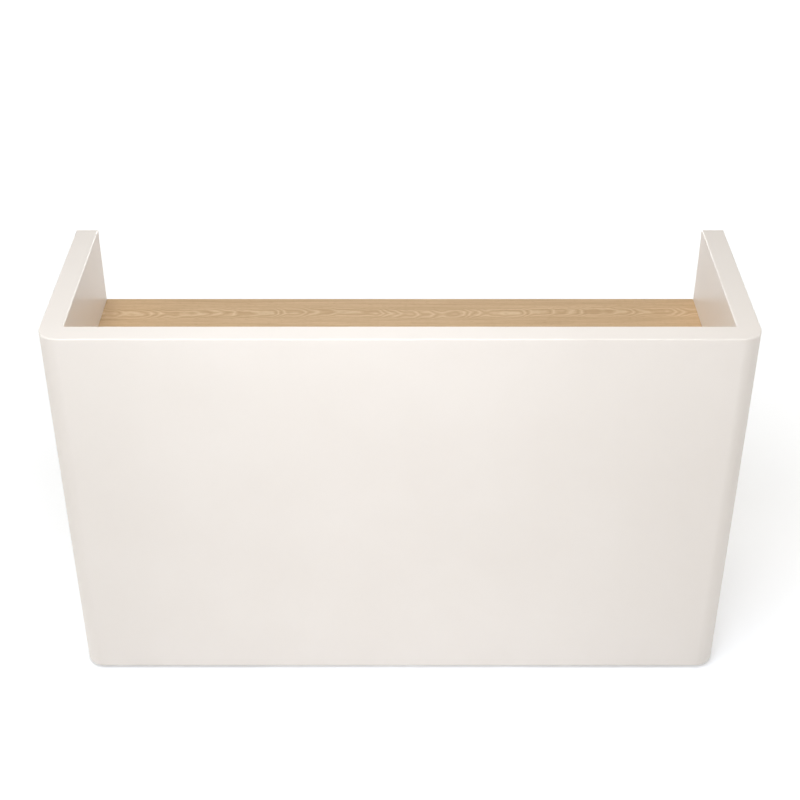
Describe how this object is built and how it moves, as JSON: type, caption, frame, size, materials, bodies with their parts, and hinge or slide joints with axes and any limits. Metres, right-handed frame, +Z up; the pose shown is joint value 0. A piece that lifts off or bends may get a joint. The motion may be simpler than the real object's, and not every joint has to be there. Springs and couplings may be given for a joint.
{
  "type": "reception desk",
  "caption": "White lacquered reception desk with a raised U-shaped screen round an oak worktop, and a lockable drawer, cupboard, keyboard tray and open shelves behind it.",
  "frame": {"origin": "on the floor, under the middle of the desk's box", "axes": "+X along the desk's width, to the right as the visitor sees it; +Y through its depth, from the visitor's face towards the operator; +Z up"},
  "size_m": [1.6, 0.5, 1],
  "materials": {
    "white_lacquer": "satin white sprayed lacquer on MDF",
    "oak_laminate": "light oak decor with a fine matt grain",
    "bare_mdf": "bare sawn board",
    "white_melamine": "white melamine faced board",
    "grey_plastic": "fine textured moulded plastic",
    "black_nylon": "moulded black nylon",
    "zinc_steel": "zinc plated pressed steel",
    "satin_nickel": "satin nickel plate"
  },
  "bodies": {
    "carcass": {"outer_skin": "white_lacquer", "rim_cap": "white_lacquer", "front_inner_skin": "white_lacquer", "left_inner_skin": "white_lacquer", "right_inner_skin": "white_lacquer", "left_end_strip": "white_lacquer", "right_end_strip": "white_lacquer", "worktop": "oak_laminate", "worktop_edging": "oak_laminate", "front_core_frame": "bare_mdf", "left_core_frame": "bare_mdf", "right_core_frame": "bare_mdf", "worktop_cleat": "white_melamine", "drawer_unit_side": "white_melamine", "drawer_unit_floor": "white_melamine", "drawer_unit_divider": "white_melamine", "cupboard_shelf": "white_melamine", "lock_rail": "white_melamine", "shelf_unit_side": "white_melamine", "shelf_unit_floor": "white_melamine", "open_shelf_1": "white_melamine", "open_shelf_2": "white_melamine", "cable_sleeve": "grey_plastic", "glide_front_left": "black_nylon", "glide_front_right": "black_nylon", "glide_rear_left": "black_nylon", "glide_rear_right": "black_nylon", "glide_unit_left": "black_nylon", "glide_unit_right": "black_nylon", "door_catch": "black_nylon", "drawer_runner_left_fixed": "zinc_steel", "drawer_runner_right_fixed": "zinc_steel", "tray_runner_left_fixed": "zinc_steel", "tray_runner_right_fixed": "zinc_steel", "door_hinge_upper_wall_leaf": "satin_nickel", "door_hinge_upper_pin": "satin_nickel", "door_hinge_lower_wall_leaf": "satin_nickel", "door_hinge_lower_pin": "satin_nickel"},
    "drawer": {"drawer_front": "white_lacquer", "drawer_sides": "white_melamine", "drawer_floor": "white_melamine", "drawer_handle": "satin_nickel", "drawer_runner_left_moving": "zinc_steel", "drawer_runner_right_moving": "zinc_steel", "lock_body": "satin_nickel"},
    "lock": {"lock_plug": "satin_nickel"},
    "door": {"door": "white_lacquer", "door_handle": "satin_nickel", "door_strike": "zinc_steel", "door_hinge_upper_door_leaf": "satin_nickel", "door_hinge_lower_door_leaf": "satin_nickel"},
    "tray": {"keyboard_tray": "oak_laminate", "tray_runner_left_moving": "zinc_steel", "tray_runner_right_moving": "zinc_steel"},
    "cable_cap": {"cable_cap": "grey_plastic"}
  },
  "joints": [
    {"name": "drawer_slide", "type": "slide", "parent": "carcass", "child": "drawer", "axis": [0, 1, 0], "range_m": [0, 0.26]},
    {"name": "lock_turn", "type": "hinge", "parent": "drawer", "child": "lock", "pos_m": [-0.5445, 0.19, 0.7028], "axis": [0, 1, 0], "range_deg": [0, 90]},
    {"name": "door_hinge", "type": "hinge", "parent": "carcass", "child": "door", "pos_m": [-0.7428, 0.2113, 0.3], "axis": [0, 0, 1], "range_deg": [0, 95]},
    {"name": "tray_slide", "type": "slide", "parent": "carcass", "child": "tray", "axis": [0, 1, 0], "range_m": [0, 0.19]},
    {"name": "cable_cap_lift", "type": "slide", "parent": "carcass", "child": "cable_cap", "axis": [0, 0, 1], "range_m": [0, 0.04]}
  ]
}
